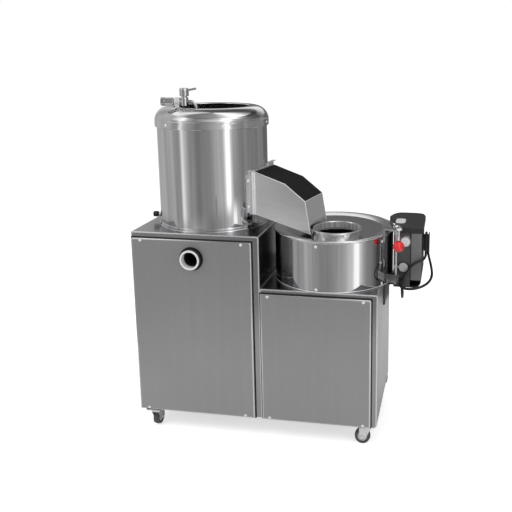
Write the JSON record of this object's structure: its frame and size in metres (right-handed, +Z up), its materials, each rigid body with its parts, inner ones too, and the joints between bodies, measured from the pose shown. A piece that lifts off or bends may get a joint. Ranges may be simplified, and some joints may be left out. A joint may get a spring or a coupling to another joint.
{
  "type": "potato peeling and slicing machine",
  "caption": "Floor-standing peeler: abrasive drum on a tall cabinet, gated chute to a slicer drum on a low cabinet, shared belt drive, side control box, casters, tap and drain.",
  "frame": {"origin": "centre of the machine's footprint on the floor, measured without the mains lead", "axes": "+Z up, +X from the peeling cabinet to the slicing cabinet, +Y from the front covers to the back"},
  "size_m": [0.9309, 0.5516, 1.1026],
  "materials": {
    "brushed_steel": "satin",
    "cover_steel": "satin",
    "polished_steel": "polished",
    "bright_steel": "polished",
    "chrome_tap": "polished",
    "frame_paint": "matte",
    "abrasive": "rough",
    "cast_pulley": "machined",
    "belt_rubber": "matte",
    "motor_paint": "satin",
    "black_plastic": "matte",
    "white_plastic": "gloss",
    "grey_plastic": "gloss",
    "red_plastic": "gloss",
    "box_paint": "satin",
    "cord_rubber": "matte",
    "wheel_rubber": "satin"
  },
  "bodies": {
    "machine": {"left_cabinet": "brushed_steel", "left_front_cover": "cover_steel", "right_cabinet": "brushed_steel", "right_front_cover": "cover_steel", "rear_covers": "cover_steel", "cover_screws": "bright_steel", "base_frame": "frame_paint", "caster_plates": "bright_steel", "drum_base_ring": "polished_steel", "drum_shell": "polished_steel", "drum_liner": "abrasive", "drum_hood": "polished_steel", "liner_bolts": "black_plastic", "drain_pan": "brushed_steel", "drain_pipe": "white_plastic", "bearing_housings": "cast_pulley", "shaft_bearings": "bright_steel", "drive_belts": "belt_rubber", "drive_motor": "motor_paint", "outlet_frame": "brushed_steel", "discharge_chute": "brushed_steel", "tap_body": "chrome_tap", "tap_bracket": "chrome_tap", "slicer_casing": "polished_steel", "casing_cover": "polished_steel", "slicer_lid": "polished_steel", "latch_bracket": "bright_steel", "control_box": "box_paint", "box_hood": "black_plastic", "button_panel": "box_paint", "switch_block": "grey_plastic", "cord_holders": "black_plastic", "power_cord": "cord_rubber", "cord_coil": "cord_rubber", "power_plug": "black_plastic"},
    "peeler_rotor": {"peeling_disc": "abrasive", "disc_cap_nut": "bright_steel", "peeler_shaft": "bright_steel", "peeler_pulley": "cast_pulley"},
    "slicer_rotor": {"slicing_disc": "bright_steel", "slicer_blades": "bright_steel", "slicer_shaft": "bright_steel", "slicer_pulley": "cast_pulley"},
    "motor_rotor": {"motor_pulley": "cast_pulley"},
    "gate": {"discharge_gate": "brushed_steel"},
    "tap_handle": {"tap_lever": "chrome_tap"},
    "swing_rod": {"swing_bolt": "bright_steel"},
    "cam_lever": {"latch_lever": "bright_steel", "ball_knob": "red_plastic"},
    "start": {"start_button": "white_plastic"},
    "stop": {"stop_button": "grey_plastic"},
    "clamp_screw": {"clamp_knob": "black_plastic"},
    "fork_1": {"caster_fork_1": "bright_steel"},
    "wheel_1": {"caster_wheel_1": "wheel_rubber"},
    "fork_2": {"caster_fork_2": "bright_steel"},
    "wheel_2": {"caster_wheel_2": "wheel_rubber"},
    "fork_3": {"caster_fork_3": "bright_steel"},
    "wheel_3": {"caster_wheel_3": "wheel_rubber"},
    "fork_4": {"caster_fork_4": "bright_steel"},
    "wheel_4": {"caster_wheel_4": "wheel_rubber"}
  },
  "joints": [
    {"name": "peeler_spin", "type": "hinge", "parent": "machine", "child": "peeler_rotor", "pos_m": [-0.2475, -0.019, 0.7], "axis": [0, 0, 1], "continuous": true},
    {"name": "slicer_spin", "type": "hinge", "parent": "machine", "child": "slicer_rotor", "pos_m": [0.1525, -0.016, 0.6], "axis": [0, 0, 1], "continuous": true},
    {"name": "motor_spin", "type": "hinge", "parent": "machine", "child": "motor_rotor", "pos_m": [-0.0575, 0.076, 0.37], "axis": [0, 0, 1], "continuous": true},
    {"name": "gate_slide", "type": "slide", "parent": "machine", "child": "gate", "axis": [0, 0, 1], "range_m": [0, 0.11]},
    {"name": "tap_turn", "type": "hinge", "parent": "machine", "child": "tap_handle", "pos_m": [-0.29273, -0.13244, 1.085], "axis": [0, 0, 1], "range_deg": [0, 90]},
    {"name": "rod_swing", "type": "hinge", "parent": "machine", "child": "swing_rod", "pos_m": [0.35961, -0.10391, 0.52], "axis": [0.3907, 0.9205, 0], "range_deg": [0, 40]},
    {"name": "lever_turn", "type": "hinge", "parent": "swing_rod", "child": "cam_lever", "pos_m": [0.35961, -0.10391, 0.6843], "axis": [-0.9397, -0.342, 0], "range_deg": [0, 150]},
    {"name": "start_press", "type": "slide", "parent": "machine", "child": "start", "axis": [0, 1, 0], "range_m": [0, 0.004], "stiffness_N_per_m": 600, "springref_m": -0.001},
    {"name": "stop_press", "type": "slide", "parent": "machine", "child": "stop", "axis": [0, 1, 0], "range_m": [0, 0.004], "stiffness_N_per_m": 600, "springref_m": -0.001},
    {"name": "clamp_turn", "type": "hinge", "parent": "machine", "child": "clamp_screw", "pos_m": [-0.4325, -0.064, 0.685], "axis": [1, 0, 0], "continuous": true},
    {"name": "swivel_1", "type": "hinge", "parent": "machine", "child": "fork_1", "pos_m": [-0.4115, -0.188, 0.06], "axis": [0, 0, 1], "continuous": true},
    {"name": "roll_1", "type": "hinge", "parent": "fork_1", "child": "wheel_1", "pos_m": [-0.4115, -0.174, 0.025], "axis": [1, 0, 0], "continuous": true},
    {"name": "swivel_2", "type": "hinge", "parent": "machine", "child": "fork_2", "pos_m": [0.2831, -0.178, 0.06], "axis": [0, 0, 1], "continuous": true},
    {"name": "roll_2", "type": "hinge", "parent": "fork_2", "child": "wheel_2", "pos_m": [0.2691, -0.178, 0.025], "axis": [0, 1, 0], "continuous": true},
    {"name": "swivel_3", "type": "hinge", "parent": "machine", "child": "fork_3", "pos_m": [-0.4115, 0.116, 0.06], "axis": [0, 0, 1], "continuous": true},
    {"name": "roll_3", "type": "hinge", "parent": "fork_3", "child": "wheel_3", "pos_m": [-0.4115, 0.13, 0.025], "axis": [1, 0, 0], "continuous": true},
    {"name": "swivel_4", "type": "hinge", "parent": "machine", "child": "fork_4", "pos_m": [0.2831, 0.13, 0.06], "axis": [0, 0, 1], "continuous": true},
    {"name": "roll_4", "type": "hinge", "parent": "fork_4", "child": "wheel_4", "pos_m": [0.2691, 0.13, 0.025], "axis": [0, 1, 0], "continuous": true}
  ],
  "couplings": [
    {"joint": "slicer_spin", "follows": "peeler_spin", "ratio": 1.2727},
    {"joint": "motor_spin", "follows": "peeler_spin", "ratio": 4.6667}
  ]
}
